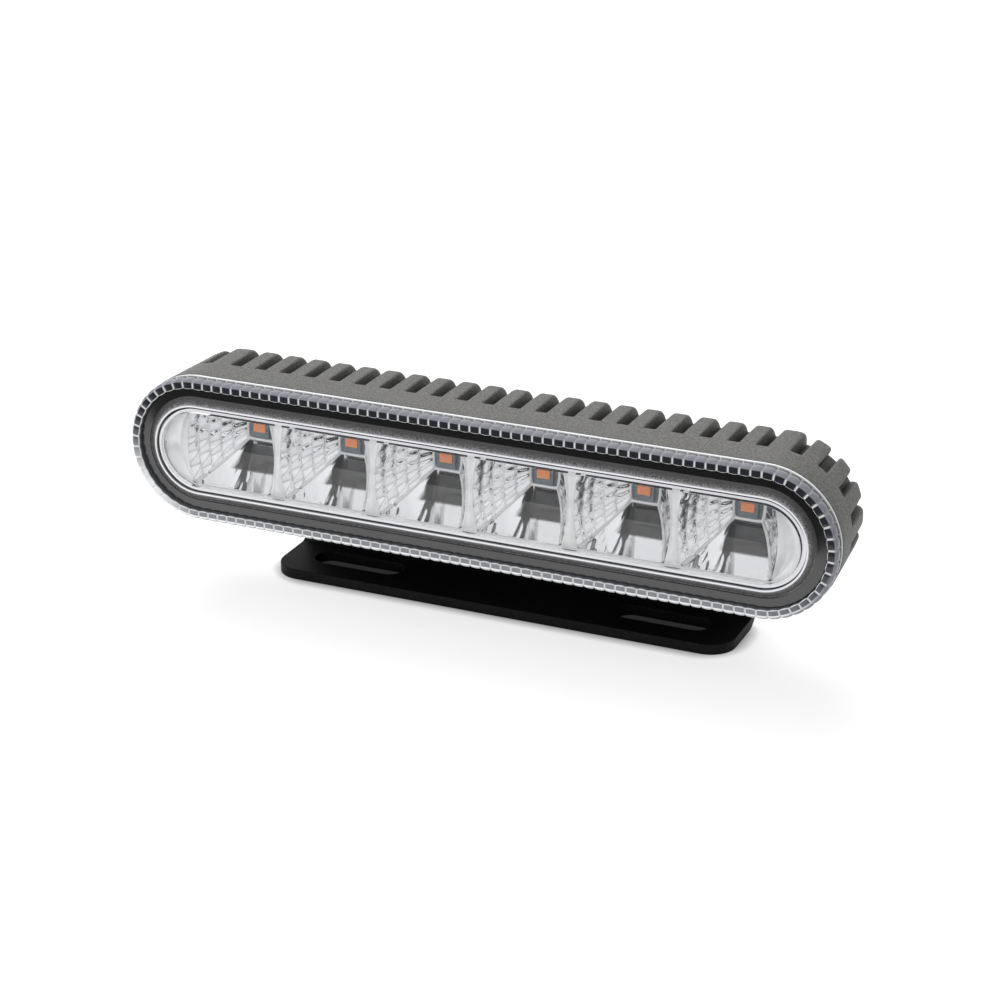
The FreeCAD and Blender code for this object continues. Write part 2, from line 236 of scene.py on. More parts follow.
finishes = {
    "coat": tonedMaterial("texturedCoat", {
        "scale": 2700.0, "roughness": 0.62, "spread": 0.15, "contrast": 0.88,
        "grainRoughness": 0.0, "relief": 0.6, "depth": 0.09}),
    "bracket": grainyMaterial("bracketCoat", {
        "dark": (0.002, 0.002, 0.002), "light": (0.007, 0.007, 0.007), "scale": 2500.0,
        "roughness": 0.5, "spread": 0.12, "relief": 0.15, "depth": 0.05, "specular": 0.09}),
    "bezel": tonedMaterial("bezelMoulding", {
        "scale": 3400.0, "roughness": 0.12, "spread": 0.05, "contrast": 1.9,
        "grainRoughness": 0.35, "relief": 0.6, "depth": 0.06, "specular": 0.9}),
    "prisms": tonedMaterial("prismMoulding", {
        "scale": 2500.0, "roughness": 0.14, "spread": 0.08, "contrast": 0.3,
        "grainRoughness": 0.2, "relief": 0.2, "depth": 0.02}),
    "mirror": tonedMaterial("metallisedMirror", {
        "scale": 300.0, "roughness": 0.04, "spread": 0.03, "contrast": 0.06,
        "grainRoughness": 0.02, "relief": 0.05, "depth": 0.02, "metal": 1.0, "inGloss": 0.9}),
    "rim": grainyMaterial("metallisedRim", {
        "dark": (0.9, 0.9, 0.9), "light": (0.97, 0.97, 0.965), "scale": 500.0,
        "roughness": 0.3, "spread": 0.1, "relief": 0.05, "depth": 0.02, "metal": 0.3}),
    "board": grainyMaterial("boardMask", {
        "dark": (0.12, 0.145, 0.16), "light": (0.17, 0.2, 0.215), "scale": 1500.0,
        "roughness": 0.45, "spread": 0.1, "relief": 0.1, "depth": 0.03}),
    "ringBoard": grainyMaterial("ringBoardMask", {
        "dark": (0.01, 0.011, 0.013), "light": (0.025, 0.026, 0.03), "scale": 1500.0,
        "roughness": 0.45, "spread": 0.1, "relief": 0.1, "depth": 0.03}),
    "package": grainyMaterial("sourcePackage", {
        "dark": (0.16, 0.19, 0.205), "light": (0.22, 0.25, 0.265), "scale": 2200.0,
        "roughness": 0.4, "spread": 0.1, "relief": 0.08, "depth": 0.02}),
    "emitter": grainyMaterial("orangePhosphor", {
        "dark": (0.98, 0.3, 0.12), "light": (1.0, 0.4, 0.19), "scale": 2600.0,
        "roughness": 0.5, "spread": 0.1, "relief": 0.08, "depth": 0.02}),
    "rubber": grainyMaterial("glandRubber", {
        "dark": (0.01, 0.01, 0.01), "light": (0.025, 0.025, 0.025), "scale": 1800.0,
        "roughness": 0.7, "spread": 0.12, "relief": 0.15, "depth": 0.05}),
    "seal": grainyMaterial("paleSeal", {
        "dark": (0.8, 0.81, 0.83), "light": (0.9, 0.905, 0.915), "scale": 1500.0,
        "roughness": 0.4, "spread": 0.1, "relief": 0.05, "depth": 0.02}),
    "pad": grainyMaterial("heatPad", {
        "dark": (0.36, 0.38, 0.41), "light": (0.45, 0.47, 0.5), "scale": 900.0,
        "roughness": 0.8, "spread": 0.1, "relief": 0.1, "depth": 0.05}),
    "component": grainyMaterial("componentBody", {
        "dark": (0.015, 0.015, 0.015), "light": (0.03, 0.03, 0.03), "scale": 2000.0,
        "roughness": 0.5, "spread": 0.1, "relief": 0.1, "depth": 0.03}),
    "ceramic": grainyMaterial("tanCeramic", {
        "dark": (0.25, 0.17, 0.1), "light": (0.34, 0.24, 0.15), "scale": 2000.0,
        "roughness": 0.4, "spread": 0.1, "relief": 0.05, "depth": 0.02}),
    "steel": grainyMaterial("platedSteel", {
        "dark": (0.5, 0.5, 0.51), "light": (0.56, 0.56, 0.57), "scale": 2600.0,
        "roughness": 0.3, "spread": 0.15, "relief": 0.08, "depth": 0.02, "metal": 1.0}),
    "window": glassMaterial("clearWindow", {
        "colour": (0.985, 0.99, 1.0), "roughness": 0.0, "ior": 1.49}),
}
print("finishes made")

# millimetres, and degrees between faces that count as one flat
meshLook = {"copyWeld": 0.0005, "flat": 0.5, "weld": 0.002, "smallest": 0.001}


def newObject(name, bm, material):
    mesh = bpy.data.meshes.new(name)
    bm.to_mesh(mesh)
    bm.free()
    mesh.materials.append(material)
    made = bpy.data.objects.new(name, mesh)
    bpy.context.scene.collection.objects.link(made)
    return made


def addPiece(name, bm, finish, node, sharp=35):
    piece = newObject(name, bm, finishes[finish])
    piece.data.shade_smooth()
    piece.data.set_sharp_from_angle(angle=radians(sharp))
    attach(piece, "root")
    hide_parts(node)
    return piece


def solidCopy(node):
    # the frame's solid with its flat faces whole again
    bm = bmesh.new()
    bm.from_mesh(nodes[node].data)
    bmesh.ops.remove_doubles(bm, verts=bm.verts, dist=meshLook["copyWeld"] * mm)
    bmesh.ops.dissolve_limit(bm, angle_limit=radians(meshLook["flat"]), verts=bm.verts,
                             edges=bm.edges)
    return bm


def edgeWalk(straight, ends, samples):
    # steps around the round-ended outline: middle x, outward angle, share of the repeat
    steps = []
    reach = lamp["reach"]
    pitch = 2 * reach / straight
    turn = pi / ends
    for side in (1, -1):
        for i in range(straight):
            for share in samples:
                steps.append((side * (-reach + pitch * (i + share)), pi / 2 * side, share))
        for i in range(ends):
            for share in samples:
                steps.append((side * reach, pi / 2 * side - turn * (i + share), share))
    return steps


def around(step, radius, depth):
    return lampPoint(step[0] + radius * cos(step[1]), depth, radius * sin(step[1]))


def sweep(bm, steps, section, place, tone=None):
    # grid whose columns follow the outline and whose rows follow the section
    columns = len(steps)
    rows = len(section) - 1
    layer = bm.verts.layers.float_color.new("tone") if tone else None
    made = bmesh.ops.create_grid(bm, x_segments=columns, y_segments=rows, size=0.5)
    for vert in made["verts"]:
        step = steps[round((vert.co.x + 0.5) * columns) % columns]
        row = section[round((vert.co.y + 0.5) * rows)]
        vert.co = place(step, row)
        if tone:
            vert[layer] = tone(step, row)


def closeSweep(bm):
    bmesh.ops.remove_doubles(bm, verts=bm.verts, dist=meshLook["weld"] * mm)
    bmesh.ops.dissolve_degenerate(bm, edges=bm.edges, dist=meshLook["smallest"] * mm)
    bmesh.ops.recalc_face_normals(bm, faces=bm.faces)


def sweptSolid(steps, section, place, tone=None):
    bm = bmesh.new()
    sweep(bm, steps, section, place, tone)
    closeSweep(bm)
    return bm


housingLook = {
    "radius": 13.75,
    "front": 3.0,
    "back": 21.8,
    "backEdge": 3.6,
    "taper": 1.4,  # how far the round ends draw in towards the back
    "slotPitch": 5.04,
    "slots": 21,
    "endSlots": 8,
    "slotHalf": 1.05,
    "slotFront": 10.1,
    "slotCorner": 0.25,
    "slotDepth": 2.6,
    "endSlotDepth": 3.3,
    "finRound": (0.3, 0.8),  # rounding of the fins' tops, at the slot's front and at the back
    "acrossSlot": (0.0, 0.7, 1.04, 1.06, 1.12, 1.22, 1.38, 1.6, 1.88),
    "cavity": ((0.0, 16.4), (9.6, 16.4), (9.6, 7.0), (12.6, 7.0), (12.6, 3.1), (12.66, 3.0)),
    "frontEdge": ((13.4, 3.0), (13.62, 3.04), (13.72, 3.14), (13.75, 3.3), (13.75, 6.0),
                  (13.75, 8.6)),
    "slotEdgeRows": (-0.33, -0.16, -0.07, -0.01, 0.02, 0.12, 0.3),
    "flankRows": 5,
    "backEdgeRows": 10,
    "backMiddle": 7.6,
    "cavityReach": 12.7,  # rows inside this radius are the cavity's, or the back's
    "slotReach": 9.7,  # rows inside this radius have no slots
    "tightest": 9.0,  # radius below which the slots keep the same turn
    "coat": (0.116, 0.115, 0.11, 1.0),
    # painted shade down in the slots, as a share of the coat
    "slotShade": 0.4,
    "bossPlaces": (-25.35, 25.35),
    "bossSection": ((2.5, 21.75), (2.5, 25.8), (5.2, 25.8), (5.42, 25.7), (5.5, 25.5), (5.5, 21.75),
                    (2.5, 21.75)),
    "bossSteps": 48,
}


def housingSection(look):
    # from the middle of the cavity's floor, over the front edge, to the middle of the back
    radius = look["radius"]
    rows = [*look["cavity"], *look["frontEdge"]]
    edge = look["slotFront"]
    rows += [(radius, edge + step) for step in look["slotEdgeRows"]]
    corner = look["back"] - look["backEdge"]
    for i in range(1, look["flankRows"] + 1):
        rows.append((radius, edge + (corner - edge) * i / look["flankRows"]))
    for i in range(1, look["backEdgeRows"] + 1):
        angle = pi / 2 * i / look["backEdgeRows"]
        drop = look["backEdge"] * (1 - cos(angle))
        rows.append((radius - drop, corner + look["backEdge"] * sin(angle)))
    return rows + [(look["backMiddle"], look["back"]), (0.0, look["back"])]


def slotWalk(look):
    # steps around the housing: middle x, angle of the slot or flank, place across it, at an end
    half = look["acrossSlot"]
    places = [-s for s in reversed(half[1:])] + list(half)
    fin = look["slotPitch"] / 2  # from a slot's middle to the middle of the fin beside it
    turn = pi / look["endSlots"]
    steps = []
    for side in (1, -1):
        flank = pi / 2 * side
        for i in range(look["slots"]):
            middle = look["slotPitch"] * (i - (look["slots"] - 1) / 2)
            steps.append((side * (middle - fin), flank, fin, False))
            for s in places:
                steps.append((side * (middle + s), flank, s, False))
        steps.append((side * look["slots"] * fin, flank, fin, False))
        for i in range(look["endSlots"]):
            angle = flank - turn * (i + 0.5)
            for s in [-look["radius"] * turn / 2] + places:
                steps.append((side * lamp["reach"], angle, s, True))
    return steps


def slotDrop(across, depth, look):
    # how far a point sinks: to the floor inside a slot, and by a rounding beside it
    side = abs(across) - (look["slotHalf"] - look["slotCorner"])
    ahead = look["slotFront"] + look["slotCorner"] - depth
    away = hypot(max(side, 0), max(ahead, 0)) + min(max(side, ahead), 0) - look["slotCorner"]
    if away <= 0:
        return look["radius"]
    low, high = look["finRound"]
    share = (depth - look["slotFront"]) / (look["back"] - look["slotFront"])
    bend = low + (high - low) * limit(share) ** 2
    if away >= bend:
        return 0.0
    return bend - sqrt(bend ** 2 - (bend - away) ** 2)


def housingPoint(step, row):
    look = housingLook
    middle, angle, across, atEnd = step
    radius, depth = row
    outside = radius > look["cavityReach"] or depth >= look["back"] - look["backEdge"]
    if atEnd:
        # slots keep their width down to the floor, the fins between them narrow
        halfTurn = pi / look["endSlots"] / 2
        reach = max(radius, look["tightest"])
        wall = asin(look["slotHalf"] / reach)
        if abs(across) <= look["slotHalf"]:
            turn = asin(across / reach)
        else:
            fin = look["radius"] * halfTurn - look["slotHalf"]
            share = (abs(across) - look["slotHalf"]) / fin
            turn = (wall + (halfTurn - wall) * share) * (1 if across > 0 else -1)
        angle -= turn
    if outside and radius > look["slotReach"]:
        share = (depth - look["front"]) / (look["back"] - look["front"])
        top = radius - (look["taper"] * share * abs(cos(angle)) if atEnd else 0)
        floor = look["radius"] - look["endSlotDepth" if atEnd else "slotDepth"]
        radius = top - min(slotDrop(across, depth, look), max(top - floor, 0))
    return lampPoint(middle + radius * cos(angle), depth, radius * sin(angle))


def housingTone(step, row):
    # painted shade: the coat darker down in the slots
    look = housingLook
    radius, depth = row
    behind = radius > look["slotReach"] and depth > look["slotFront"]
    inSlot = behind and slotDrop(step[2], depth, look) >= look["radius"]
    share = look["slotShade"] if inSlot else 1.0
    return (*(share * part for part in look["coat"][:3]), 1.0)


def addBoss(bm, x, look):
    layer = bm.verts.layers.float_color["tone"]
    verts = [bm.verts.new(lampPoint(x + r, y, 0)) for r, y in look["bossSection"]]
    for vert in verts:
        vert[layer] = look["coat"]
    edges = [bm.edges.new(pair) for pair in zip(verts, verts[1:])]
    bmesh.ops.spin(bm, geom=verts + edges, cent=lampPoint(x, 0, 0), axis=(0, 1, 0),
                   angle=2 * pi, steps=look["bossSteps"], use_merge=True)


def makeHousing():
    bm = bmesh.new()
    sweep(bm, slotWalk(housingLook), housingSection(housingLook), housingPoint, housingTone)
    for x in housingLook["bossPlaces"]:
        addBoss(bm, x, housingLook)
    closeSweep(bm)
    return bm


addPiece("finnedHousing", makeHousing(), "coat", "housing", sharp=50)
print("housing made")


bracketLook = {"edge": 0.3, "segments": 3, "sharpest": 40}


def softenEdges(piece, look):
    bevel = piece.modifiers.new("softEdges", "BEVEL")
    bevel.width = look["edge"] * mm
    bevel.segments = look["segments"]
    bevel.limit_method = "ANGLE"
    bevel.angle_limit = radians(look["sharpest"])
    bevel.use_clamp_overlap = True
    bevel.harden_normals = True


bracket = addPiece("angleBracket", solidCopy("bracket"), "bracket", "bracket")
softenEdges(bracket, bracketLook)
print("bracket made")


prismLook = {
    "straightPrisms": 55,
    "endPrisms": 19,
    "samples": (0.0, 0.035, 0.075, 0.12, 0.3, 0.5, 0.7, 0.88, 0.925, 0.965),  # across one prism
    "grooveHalf": 0.09,  # half width of a gap, as a share of a prism
    "frontGroove": 0.16,
    "frontPillow": 0.04,
    "sideGroove": 0.25,
    "sidePillow": 0.14,
    "scallop": 0.16,
    "lobeEnd": 0.4,
    "square": (0.02, 0.021, 0.027),
    "paleSquare": (0.15, 0.155, 0.17),  # painted pale light where the pale seal shows through the clear ring from behind
    # painted highlights: the white of the ring's edge lines and of the dividers between prisms
    "line": (0.88, 0.89, 0.9),
    "divider": (0.72, 0.73, 0.74),
    "lobe": (0.2, 0.205, 0.235),
    "gap": (0.2, 0.2, 0.21),
    "rim": (0.5, 0.51, 0.53),
    "wall": (0.1, 0.102, 0.108),
    "clearest": 222.0,  # degrees round from the right, where the painted light of the pale table showing through is strongest
    "clearSquare": 0.85,
    "dividerEdge": (0.8, 0.1),  # where a divider starts across half a prism, and its fade
    "lobeDivider": 0.35,
    "outline": (13.6, 0.35),  # radius past which the lobes take less painted paleness, and the share that stays
    "paleWall": 0.5,
}
# radius, depth, how far front groove, side groove, scallop and lobe end reach, and the tone
prismSection = [
    (11.8, 2.18, 0, 0, 0, 0, "wall"),
    (11.8, 1.5, 0, 0, 0.6, 0, "wall"),
    (11.8, 0.3, 0.6, 0, 1, 0, "wall"),
    (11.84, 0.12, 0.8, 0, 1, 0, "line"),
    (11.92, 0.0, 1, 0, 0.6, 0, "line"),
    (12.0, 0.0, 1, 0, 0.4, 0, "square"),
    (12.5, 0.0, 1, 0, 0, 0, "square"),
    (12.8, 0.0, 1, 0, 0, 0, "square"),
    (12.9, 0.0, 1, 0, 0, 0, "frame"),
    (13.12, 0.02, 0.9, 0.2, 0, 0, "frame"),
    (13.2, 0.05, 0.8, 0.4, 0, 0, "lobe"),
    (13.46, 0.22, 0.6, 0.7, 0, 0, "lobe"),
    (13.62, 0.48, 0.3, 1, 0, 0, "lobe"),
    (13.69, 0.8, 0, 1, 0, 0, "lobe"),
    (13.69, 1.2, 0, 1, 0, 0.3, "lobe"),
    (13.66, 1.55, 0, 1, 0, 0.8, "lobe"),
    (13.58, 1.75, 0, 1, 0, 1, "line"),
    (13.38, 1.86, 0, 0.3, 0, 1, "gap"),
    (13.32, 2.02, 0, 0, 0, 0, "gap"),
    (13.44, 2.12, 0, 0, 0, 0, "gap"),
    (13.62, 2.17, 0, 0, 0, 0, "gap"),
    (13.69, 2.26, 0, 0, 0, 0, "rim"),
    (13.69, 2.52, 0, 0, 0, 0, "rim"),
    (13.63, 2.58, 0, 0, 0, 0, "rim"),
    (11.8, 2.58, 0, 0, 0, 0, "rim"),
    (11.8, 2.18, 0, 0, 0, 0, "wall"),
]


def prismPoint(step, row):
    look = prismLook
    radius, depth, front, side, scallop, lobe = row[:6]
    share = step[2]
    across = 2 * share - 1
    gap = max(0.0, 1 - min(share, 1 - share) / look["grooveHalf"])
    depth += front * (look["frontGroove"] * gap + look["frontPillow"] * across ** 2)
    radius -= side * (look["sideGroove"] * gap + look["sidePillow"] * across ** 2)
    radius += scallop * look["scallop"] * across ** 2
    depth -= lobe * look["lobeEnd"] * (1 - sqrt(max(0.0, 1 - across ** 2)))
    return around(step, radius, depth)


def prismTone(step, row):
    # painted light of the clear ring: walls and squares painted paler towards the bottom, squares
    # and lobes paler towards the lower left, dividers as painted highlights
    look = prismLook
    kind = row[6]
    colour = look["square" if kind == "frame" else kind]
    start, fade = look["dividerEdge"]
    divider = limit((abs(2 * step[2] - 1) - start) / fade)
    below = max(0.0, -sin(step[1]))
    clear = max(0.0, cos(step[1] - radians(look["clearest"])))
    if kind == "wall":
        colour = blend(colour, look["paleSquare"], look["paleWall"] * below)
    if kind in ("square", "frame"):
        colour = blend(colour, look["line" if kind == "frame" else "paleSquare"], below ** 2)
        colour = blend(colour, look["line"], look["clearSquare"] * clear ** 6)
        colour = blend(colour, look["divider"], divider)
    if kind in ("lobe", "gap"):
        edge, grey = look["outline"]
        colour = blend(colour, look["line"], look["lobeDivider"] * divider)
        colour = blend(colour, look["line"], (grey if row[0] > edge else 1.0) * clear ** 2)
    return (*colour, 0.0)


prismWalk = edgeWalk(prismLook["straightPrisms"], prismLook["endPrisms"], prismLook["samples"])
prismMesh = sweptSolid(prismWalk, prismSection, prismPoint, prismTone)
addPiece("prismRing", prismMesh, "prisms", "lens", sharp=40)
print("prism ring made")

# even steps for the pieces that have no repeats
smoothLook = {"straightSteps": 108, "endSteps": 40, "samples": (0.0,)}
smoothWalk = edgeWalk(smoothLook["straightSteps"], smoothLook["endSteps"], smoothLook["samples"])
windowSection = [(0.0, 0.2), (7.18, 0.2), (7.22, 0.21), (7.25, 0.24), (7.26, 0.28), (7.26, 2.2),
                 (11.7, 2.2), (11.7, 3.0), (0.0, 3.0)]
windowMesh = sweptSolid(smoothWalk, windowSection, lambda step, row: around(step, *row))
addPiece("clearWindow", windowMesh, "window", "lens", sharp=30)
print("window made")

# radius, depth, tone and share of grain; the tones hold a painted reflection on the white lip, a
# painted highlight on the crest and painted light down the skirt
bezelSection = [
    (7.3, 2.12, 0.5, 0.0),
    # painted reflection: the white lip with its grey grooves
    (7.3, 0.94, 0.9, 0.0),
    (7.36, 0.87, 0.92, 0.0),
    (7.52, 0.86, 0.92, 0.0),
    (7.58, 0.87, 0.8, 0.0),
    (7.66, 0.87, 0.8, 0.0),
    (7.72, 0.85, 0.92, 0.0),
    (7.8, 0.85, 0.92, 0.0),
    (7.84, 0.85, 0.92, 0.0),
    (8.04, 0.84, 0.92, 0.0),
    (8.1, 0.86, 0.04, 0.0),
    (8.2, 0.88, 0.02, 0.0),
    (8.22, 0.44, 0.02, 0.0),
    # painted highlight along the crest
    (8.25, 0.32, 0.3, 0.0),
    (8.32, 0.23, 0.8, 0.0),
    (8.44, 0.2, 0.85, 0.0),
    (8.56, 0.23, 0.8, 0.0),
    (8.64, 0.28, 0.3, 0.3),
    # painted light: the skirt paler towards the crest
    (8.7, 0.31, 0.2, 0.7),
    (9.0, 0.42, 0.085, 1.0),
    (9.4, 0.62, 0.032, 1.0),
    (9.6, 0.725, 0.022, 1.0),
    (9.66, 0.757, 0.02, 1.0),
    (9.72, 0.788, 0.018, 1.0),
    (9.8, 0.83, 0.015, 1.0),
    (10.0, 0.94, 0.01, 0.6),
    (10.12, 0.99, 0.01, 0.0),
    (10.26, 1.0, 0.01, 0.0),
    (11.58, 1.0, 0.01, 0.0),
    (11.66, 1.0, 0.01, 0.0),
    (11.74, 1.08, 0.01, 0.0),
    (11.74, 2.12, 0.01, 0.0),
    (7.3, 2.12, 0.5, 0.0),
]
bezelLook = {
    # painted reflection of the table: the flat's tone towards it
    "flat": 0.027,
    "flatFrom": 9.7,
    # painted highlight on the seam towards the table
    "seam": 0.2,
    "seamFrom": 9.63,
    "skirt": 0.5,  # painted shade: how much of its tone the skirt loses towards the table
    "skirtFrom": 8.66,
    "lip": (7.82, 8.06),  # part of the white lip that takes the crest's painted shade at the top
    "lipShade": 0.96,
    "below": (0.6, -0.3, -2.0),  # base, share of right and share of up that count as below
    "above": (-0.4, 0.0, 2.0),
    "blue": 1.04,
}


def bezelTone(step, row):
    # painted light: towards the table the flat is greyer as a painted reflection, the skirt darker
    # with painted shade and a pale seam, a painted highlight, shows between them; at the top the
    # lip lies in painted shade
    look = bezelLook
    radius, level, grain = row[0], row[2], row[3]
    below, above = (limit(base + right * cos(step[1]) + up * sin(step[1]))
                    for base, right, up in (look["below"], look["above"]))
    if radius > look["flatFrom"]:
        level += (look["flat"] - level) * below
        grain *= 1 - below
    elif radius > look["seamFrom"]:
        level += look["seam"] * below
    elif radius > look["skirtFrom"]:
        level *= 1 - look["skirt"] * below
    elif look["lip"][0] < radius < look["lip"][1]:
        level *= 1 - look["lipShade"] * above
    return (level, level, level * look["blue"], grain)


bezelMesh = sweptSolid(smoothWalk, bezelSection, lambda step, row: around(step, *row[:2]),
                       bezelTone)
addPiece("bezelFrame", bezelMesh, "bezel", "bezel", sharp=60)
print("bezel made")

reflectorLook = {
    "pitch": 19.0,
    "cups": 6,
    "frontY": 3.12,
    "baseY": 14.35,
    "mouth": (8.9, 7.95, 7.0),  # half width, half width at the corners, half height
    "base": (2.75, 2.5, 2.2),
    "facets": (5, 5),  # along the depth and up each side wall
    "facetSteps": 6,
    "bulge": 0.11,
    "band": 7.25,
    "dish": 1.4,
    "divider": 0.25,  # how far the ridges between the cups stand forward
    "beads": (7.25, 9.35, 4, 0.1),  # inner and outer radius, number and height
    "collar": 0.26,  # round edge of the opening over a light source
    "ridge": (0.24, 0.42),  # round edge between wall and bottom, at the source and at the mouth
    "beadSteps": 6,
    "beadSkirt": 0.9,
    "flatSteps": (40, 20),  # along the depth and across a cup's top or bottom
    "dishSteps": 20,
    "dividerSteps": 8,
    "bandSteps": 60,
    "cornerSteps": 16,
    "collarSteps": 10,
    "barSides": 8,
    "barStep": 0.01,  # share of a bar's line over which its direction is taken
    "steep": 0.9,  # past this share of the depth a bar counts as running backwards
    "cupWeld": 0.01,
    "bright": 0.92,
    "rightWall": 0.75,  # painted shade: share of the brightness on the right wall of a cup
    # darkest tone of the painted dark reflection
    "shade": 0.055,
    "panel": (0.03, 0.54),  # reach of the painted dark reflection along the cup's bottom
    "panelFade": (30.0, 1.5, 0.5),  # along the bottom, and slope and start across it
    "facetEdge": 0.2,
    "jointStart": 0.8,
    "tint": 1.01,
    "grain": 0.5,
}
cupPlaces = [reflectorLook["pitch"] * (i - (reflectorLook["cups"] - 1) / 2)
             for i in range(reflectorLook["cups"])]


def cupSize(share, look):
    return [sqrt(b * b + (m * m - b * b) * share) for b, m in zip(look["base"], look["mouth"])]


def cupDepth(share, look):
    return look["baseY"] + (look["frontY"] - look["baseY"]) * share


def cupSide(share, up, look):
    # distance of the side wall from the cup's middle, up from -1 at the bottom to 1 at the top
    middle, corner, height = cupSize(share, look)
    return middle - (middle - corner) * up * up, height * up


def addPatch(bm, columns, rows, place, tone=None):
    # grid moved to a place worked out from its two shares, each from 0 to 1
    if tone:
        layers = bm.verts.layers.float_color
        layer = layers.get("tone") or layers.new("tone")
    made = bmesh.ops.create_grid(bm, x_segments=columns, y_segments=rows, size=0.5)
    for vert in made["verts"]:
        u, v = vert.co.x + 0.5, vert.co.y + 0.5
        vert.co = place(u, v)
        if tone:
            level = tone(u, v)
            vert[layer] = (level, level, level * reflectorLook["tint"], reflectorLook["grain"])


def facetPlace(u, v, look):
    # place inside a facet, every second column of facets half a facet lower
    along, tall = look["facets"]
    column = min(int(u * along), along - 1)
    return 2 * (u * along - column) - 1, 2 * ((v * tall + 0.5 * (column % 2)) % 1) - 1


def sideWall(x, hand, look):
    # wall of pillow facets, each bowed towards the light source
    def place(u, v):
        a, b = facetPlace(u, v, look)
        out, up = cupSide(u, 2 * v - 1, look)
        bow = look["bulge"] * (1 - a * a) * (1 - b * b)
        return lampPoint(x + hand * (out - bow), cupDepth(u, look), up)
    return place


def wallTone(hand, look):
    # thin dark joints between the facets, deeper at their lower ends, and painted shade on the
    # right wall
    def tone(u, v):
        a, b = facetPlace(u, v, look)
        start = look["jointStart"]
        joint = max(0.0, max(abs(a), -b) - start) / (1 - start)
        level = look["bright"] * (1 - look["facetEdge"] * joint)
        return level if hand < 0 else look["rightWall"] * level
    return tone


def bottomTone(hand, look):
    # painted dark reflection on the bottom wall in front of each light source
    def tone(u, v):
        if hand > 0:
            return look["bright"]
        across = cupSize(u, look)[1] * (2 * v - 1)
        near, far = look["panel"]
        along, slope, start = look["panelFade"]
        inside = limit(min((u - near) * along, (far - u) * along,
                           (across + look["base"][0]) * slope + start))
        return look["bright"] + (look["shade"] - look["bright"]) * inside
    return tone


def flatWall(x, hand, look):
    def place(u, v):
        corner, height = cupSize(u, look)[1:]
        return lampPoint(x + corner * (2 * v - 1), cupDepth(u, look), hand * height)
    return place


def endDish(hand, look):
    # hollow shell between the last cup and the round end
    def place(u, v):
        out, up = cupSide(1.0, 2 * v - 1, look)
        corner = look["mouth"][1] + cupPlaces[-1] - lamp["reach"]
        spread = asin(look["mouth"][2] / hypot(corner, look["mouth"][2]))
        angle = spread * (2 * v - 1)
        nearX, nearZ = cupPlaces[-1] + out, up
        farX, farZ = lamp["reach"] + look["band"] * cos(angle), look["band"] * sin(angle)
        depth = look["frontY"] + look["dish"] * sin(pi * u) * cos(angle)
        return lampPoint(hand * (nearX + (farX - nearX) * u), depth, nearZ + (farZ - nearZ) * u)
    return place


def makeCups():
    look = reflectorLook
    bm = bmesh.new()
    columns, rows = (count * look["facetSteps"] for count in look["facets"])
    for x in cupPlaces:
        for hand in (-1, 1):
            addPatch(bm, columns, rows, sideWall(x, hand, look), wallTone(hand, look))
            addPatch(bm, *look["flatSteps"], flatWall(x, hand, look), bottomTone(hand, look))
    bmesh.ops.remove_doubles(bm, verts=bm.verts, dist=look["cupWeld"] * mm)
    bmesh.ops.recalc_face_normals(bm, faces=bm.faces)
    return bm


addPiece("cupReflector", makeCups(), "mirror", "reflector", sharp=25)
print("reflector cups made")


def dividerPatch(x, look):
    # ridge between two cups, drawn in at mid-height by their bowed sides
    def place(u, v):
        out, up = cupSide(1.0, 2 * v - 1, look)
        left, right = x + out, x + look["pitch"] - out
        depth = look["frontY"] - look["divider"] * (1 - (2 * u - 1) ** 2)
        return lampPoint(left + (right - left) * u, depth, up)
    return place


def bandPatch(hand, look):
    reach = cupPlaces[-1] + look["mouth"][1]

    def place(u, v):
        height = look["mouth"][2] + (look["band"] - look["mouth"][2]) * v
        return lampPoint(reach * (2 * u - 1), look["frontY"], hand * height)
    return place


def beadRows(look):
    inner, outer, count, height = look["beads"]
    steps = count * look["beadSteps"]
    rows = []
    for i in range(steps + 1):
        share = i / steps
        rise = abs(sin(pi * share * count))
        rows.append((inner + (outer - inner) * share, look["frontY"] - height * rise))
    return rows + [(outer, look["frontY"] + look["beadSkirt"])]


def addBar(bm, line, steps, thickness):
    # round bar along a line given by a share from 0 to 1
    look = reflectorLook

    def place(u, v):
        step = look["barStep"]
        ahead = (line(min(u + step, 1)) - line(max(u - step, 0))).normalized()
        other = Vector((0, 1, 0)) if abs(ahead.y) < look["steep"] else Vector((0, 0, 1))
        side = ahead.cross(other).normalized()
        turn = 2 * pi * v
        spread = (side * cos(turn) + ahead.cross(side) * sin(turn)) * thickness(u) * mm
        return line(u) + spread
    addPatch(bm, steps, look["barSides"], place)


def cornerLine(x, hand, look):
    def line(u):
        corner, height = cupSize(u, look)[1:]
        return lampPoint(x + hand * corner, cupDepth(u, look), -height)
    return line


def baseLine(x, side, look):
    # the opening's left, bottom and right edges, side -1, 0 or 1
    middle, corner, height = look["base"]

    def line(u):
        if side == 0:
            return lampPoint(x + corner * (2 * u - 1), look["baseY"], -height)
        up = 2 * u - 1
        out = middle - (middle - corner) * up ** 2
        return lampPoint(x + side * out, look["baseY"], height * up)
    return line


